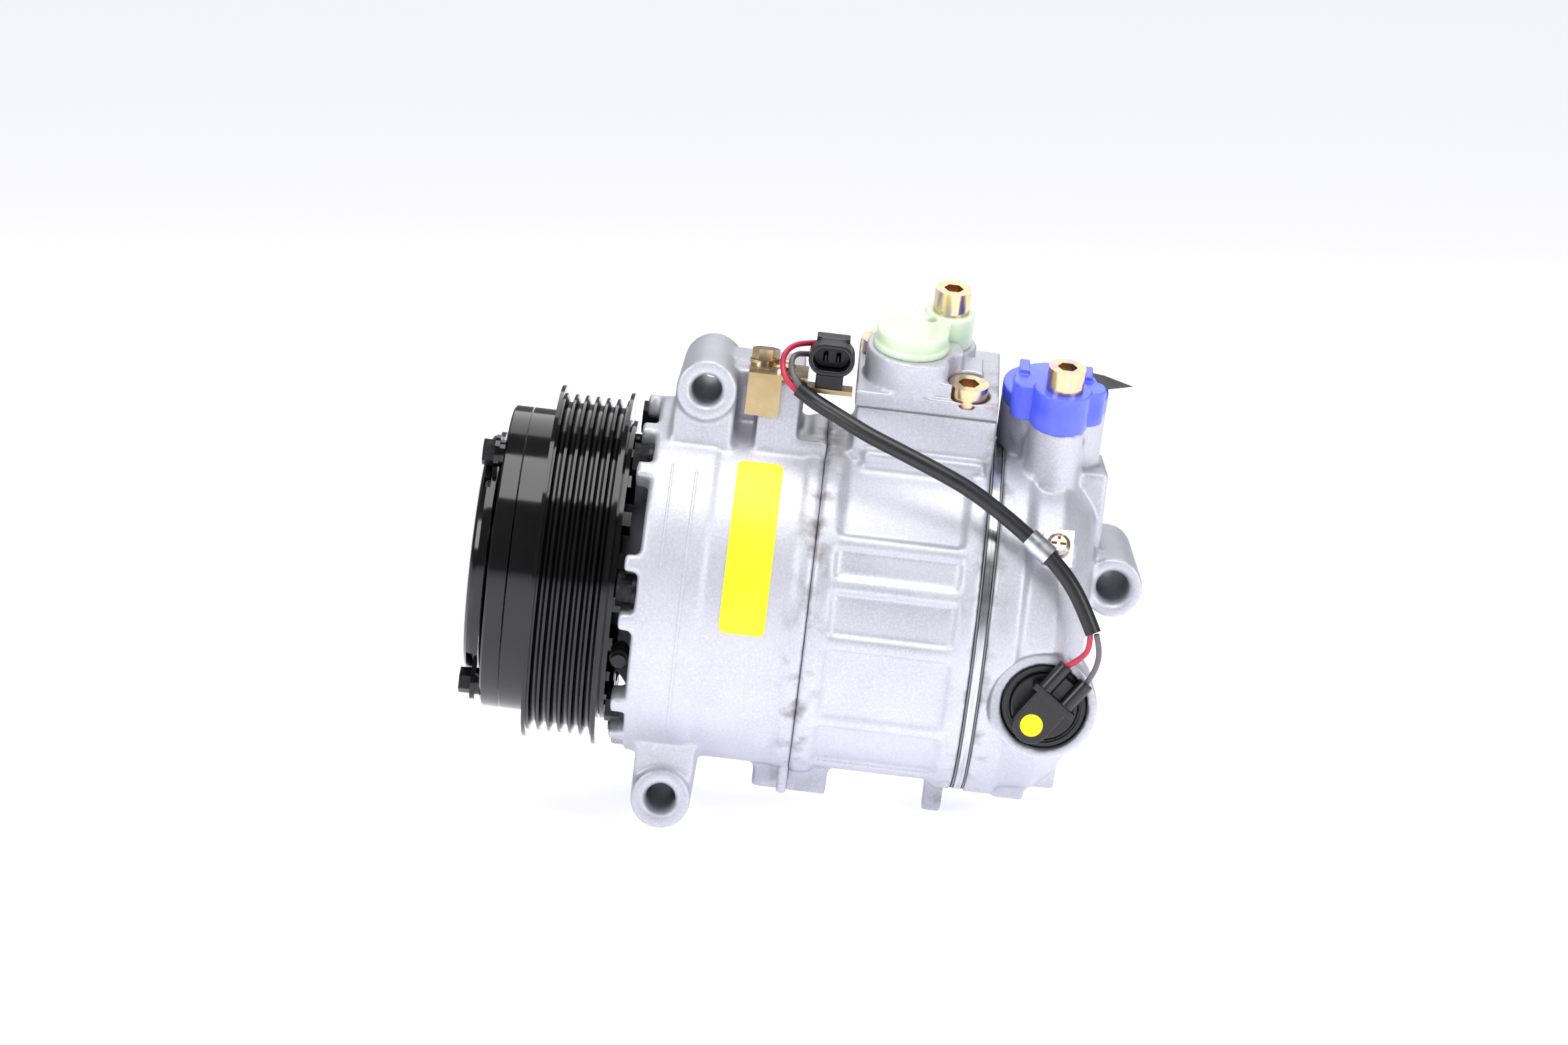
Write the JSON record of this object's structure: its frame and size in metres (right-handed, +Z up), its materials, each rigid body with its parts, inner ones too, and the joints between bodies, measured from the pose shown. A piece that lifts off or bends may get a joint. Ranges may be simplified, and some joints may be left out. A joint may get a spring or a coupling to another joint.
{
  "type": "automotive air conditioning compressor",
  "caption": "Belt-driven swash-plate refrigerant compressor with magnetic clutch pulley, cast aluminium housings, mounting lugs, capped ports and a plug-in control valve.",
  "frame": {"origin": "on the shaft axis, in the middle plane of the six belt grooves", "axes": "+X along the shaft from the pulley nose to the rear housing, +Y along the bores of the mounting lugs to the engine side, +Z up"},
  "size_m": [0.2212, 0.1252, 0.1902],
  "materials": {
    "cast_aluminium": "satin",
    "black_paint": "gloss",
    "steel": "satin",
    "dark_steel": "satin",
    "yellow_zinc": "gloss",
    "silver_zinc": "satin",
    "black_rubber": "matte",
    "black_plastic": "satin",
    "blue_plastic": "gloss",
    "white_plastic": "gloss",
    "red_insulation": "satin",
    "grey_insulation": "satin",
    "copper": "satin",
    "gasket_sheet": "matte",
    "piston_aluminium": "satin"
  },
  "bodies": {
    "housing": {"front_housing": "cast_aluminium", "cylinder_block": "cast_aluminium", "rear_housing": "cast_aluminium", "valve_plate": "steel", "reed_plates": "steel", "gaskets": "gasket_sheet", "through_bolts": "dark_steel", "discharge_port_block": "cast_aluminium", "socket_screws": "yellow_zinc", "discharge_cap": "white_plastic", "suction_cap": "blue_plastic", "transport_tab": "black_plastic", "coil_shell": "black_paint", "coil_winding": "copper", "coil_lead_grommet": "black_rubber", "circlips": "steel", "bearing_inner_race": "steel", "shaft_bearings": "steel", "rubber_seals": "black_rubber", "connector_bracket": "yellow_zinc", "small_screws": "yellow_zinc", "harness_connector": "black_plastic", "cable_clamp": "silver_zinc", "harness_sleeve": "black_rubber", "red_wire": "red_insulation", "grey_wire": "grey_insulation", "control_valve_body": "steel", "control_valve_cap": "black_plastic", "valve_plug": "black_plastic"},
    "pulley": {"rotor_pulley": "black_paint", "bearing_outer_race": "steel"},
    "ball_set": {"bearing_balls": "steel"},
    "shaft": {"drive_shaft": "steel", "lug_plate": "steel", "clutch_hub": "steel", "hub_nut": "steel", "swash_return_spring": "steel"},
    "armature": {"armature_plate": "black_paint", "clutch_cup": "black_paint", "ear_bolts": "dark_steel", "rubber_damper": "black_rubber"},
    "sleeve": {"swash_sleeve": "steel"},
    "swash": {"swash_plate": "steel", "hinge_pin": "steel"},
    "valve_spool": {"control_valve_plunger": "steel"},
    "check_valve": {"check_valve_poppet": "steel"},
    "piston_1_body": {"piston_1": "piston_aluminium"},
    "shoes_1_body": {"shoe_pair_1": "steel"},
    "piston_2_body": {"piston_2": "piston_aluminium"},
    "shoes_2_body": {"shoe_pair_2": "steel"},
    "piston_3_body": {"piston_3": "piston_aluminium"},
    "shoes_3_body": {"shoe_pair_3": "steel"},
    "piston_4_body": {"piston_4": "piston_aluminium"},
    "shoes_4_body": {"shoe_pair_4": "steel"},
    "piston_5_body": {"piston_5": "piston_aluminium"},
    "shoes_5_body": {"shoe_pair_5": "steel"},
    "piston_6_body": {"piston_6": "piston_aluminium"},
    "shoes_6_body": {"shoe_pair_6": "steel"},
    "piston_7_body": {"piston_7": "piston_aluminium"},
    "shoes_7_body": {"shoe_pair_7": "steel"}
  },
  "joints": [
    {"name": "pulley_spin", "type": "hinge", "parent": "housing", "child": "pulley", "pos_m": [0, 0, 0], "axis": [1, 0, 0], "continuous": true},
    {"name": "ball_roll", "type": "hinge", "parent": "housing", "child": "ball_set", "pos_m": [0, 0, 0], "axis": [1, 0, 0], "continuous": true},
    {"name": "shaft_spin", "type": "hinge", "parent": "housing", "child": "shaft", "pos_m": [0, 0, 0], "axis": [1, 0, 0], "range_deg": [-360, 360]},
    {"name": "clutch_engage", "type": "slide", "parent": "shaft", "child": "armature", "axis": [1, 0, 0], "range_m": [0, 0.00045], "stiffness_N_per_m": 20000},
    {"name": "swash_tilt", "type": "hinge", "parent": "sleeve", "child": "swash", "pos_m": [0.07, 0, 0], "axis": [0, 0.0628, 0.998], "range_deg": [0, 19]},
    {"name": "sleeve_slide", "type": "slide", "parent": "shaft", "child": "sleeve", "axis": [1, 0, 0], "range_m": [-0.0132, 0], "deforming": ["swash_return_spring"]},
    {"name": "valve_spool_slide", "type": "slide", "parent": "housing", "child": "valve_spool", "axis": [0, 1, 0], "range_m": [0, 0.0003], "stiffness_N_per_m": 1000},
    {"name": "check_valve_lift", "type": "slide", "parent": "housing", "child": "check_valve", "axis": [0, -0.2924, 0.9563], "range_m": [0, 0.003], "stiffness_N_per_m": 200, "springref_m": -0.001},
    {"name": "piston_1_stroke", "type": "slide", "parent": "housing", "child": "piston_1_body", "axis": [1, 0, 0], "range_m": [-0.0265, 0]},
    {"name": "shoes_1_swivel", "type": "hinge", "parent": "piston_1_body", "child": "shoes_1_body", "pos_m": [0.07, -0.0352, -0.01431], "axis": [0, 0.0628, 0.998], "range_deg": [0, 19.2]},
    {"name": "piston_2_stroke", "type": "slide", "parent": "housing", "child": "piston_2_body", "axis": [1, 0, 0], "range_m": [-0.0265, 0]},
    {"name": "shoes_2_swivel", "type": "hinge", "parent": "piston_2_body", "child": "shoes_2_body", "pos_m": [0.07, -0.01077, -0.03644], "axis": [0, 0.0628, 0.998], "range_deg": [0, 19.2]},
    {"name": "piston_3_stroke", "type": "slide", "parent": "housing", "child": "piston_3_body", "axis": [1, 0, 0], "range_m": [-0.0265, 0]},
    {"name": "shoes_3_swivel", "type": "hinge", "parent": "piston_3_body", "child": "shoes_3_body", "pos_m": [0.07, 0.02178, -0.03114], "axis": [0, 0.0628, 0.998], "range_deg": [0, 19.2]},
    {"name": "piston_4_stroke", "type": "slide", "parent": "housing", "child": "piston_4_body", "axis": [1, 0, 0], "range_m": [-0.0265, 0]},
    {"name": "shoes_4_swivel", "type": "hinge", "parent": "piston_4_body", "child": "shoes_4_body", "pos_m": [0.07, 0.03793, -0.00239], "axis": [0, 0.0628, 0.998], "range_deg": [0, 19.2]},
    {"name": "piston_5_stroke", "type": "slide", "parent": "housing", "child": "piston_5_body", "axis": [1, 0, 0], "range_m": [-0.0265, 0]},
    {"name": "shoes_5_swivel", "type": "hinge", "parent": "piston_5_body", "child": "shoes_5_body", "pos_m": [0.07, 0.02551, 0.02816], "axis": [0, 0.0628, 0.998], "range_deg": [0, 19.2]},
    {"name": "piston_6_stroke", "type": "slide", "parent": "housing", "child": "piston_6_body", "axis": [1, 0, 0], "range_m": [-0.0265, 0]},
    {"name": "shoes_6_swivel", "type": "hinge", "parent": "piston_6_body", "child": "shoes_6_body", "pos_m": [0.07, -0.00611, 0.03751], "axis": [0, 0.0628, 0.998], "range_deg": [0, 19.2]},
    {"name": "piston_7_stroke", "type": "slide", "parent": "housing", "child": "piston_7_body", "axis": [1, 0, 0], "range_m": [-0.0265, 0]},
    {"name": "shoes_7_swivel", "type": "hinge", "parent": "piston_7_body", "child": "shoes_7_body", "pos_m": [0.07, -0.03313, 0.0186], "axis": [0, 0.0628, 0.998], "range_deg": [0, 19.2]}
  ],
  "couplings": [
    {"joint": "ball_roll", "follows": "pulley_spin", "ratio": 0.58941},
    {"joint": "sleeve_slide", "follows": "swash_tilt", "m_per_rad": -0.039457},
    {"joint": "piston_1_stroke", "follows": "swash_tilt", "m_per_rad": -0.0039075},
    {"joint": "shoes_1_swivel", "follows": "swash_tilt", "ratio": 1},
    {"joint": "piston_2_stroke", "follows": "swash_tilt", "m_per_rad": -0.030677},
    {"joint": "shoes_2_swivel", "follows": "swash_tilt", "ratio": 1},
    {"joint": "piston_3_stroke", "follows": "swash_tilt", "m_per_rad": -0.064058},
    {"joint": "shoes_3_swivel", "follows": "swash_tilt", "ratio": 1},
    {"joint": "piston_4_stroke", "follows": "swash_tilt", "m_per_rad": -0.078914},
    {"joint": "shoes_4_swivel", "follows": "swash_tilt", "ratio": 1},
    {"joint": "piston_5_stroke", "follows": "swash_tilt", "m_per_rad": -0.064058},
    {"joint": "shoes_5_swivel", "follows": "swash_tilt", "ratio": 1},
    {"joint": "piston_6_stroke", "follows": "swash_tilt", "m_per_rad": -0.030677},
    {"joint": "shoes_6_swivel", "follows": "swash_tilt", "ratio": 1},
    {"joint": "piston_7_stroke", "follows": "swash_tilt", "m_per_rad": -0.0039075},
    {"joint": "shoes_7_swivel", "follows": "swash_tilt", "ratio": 1}
  ]
}
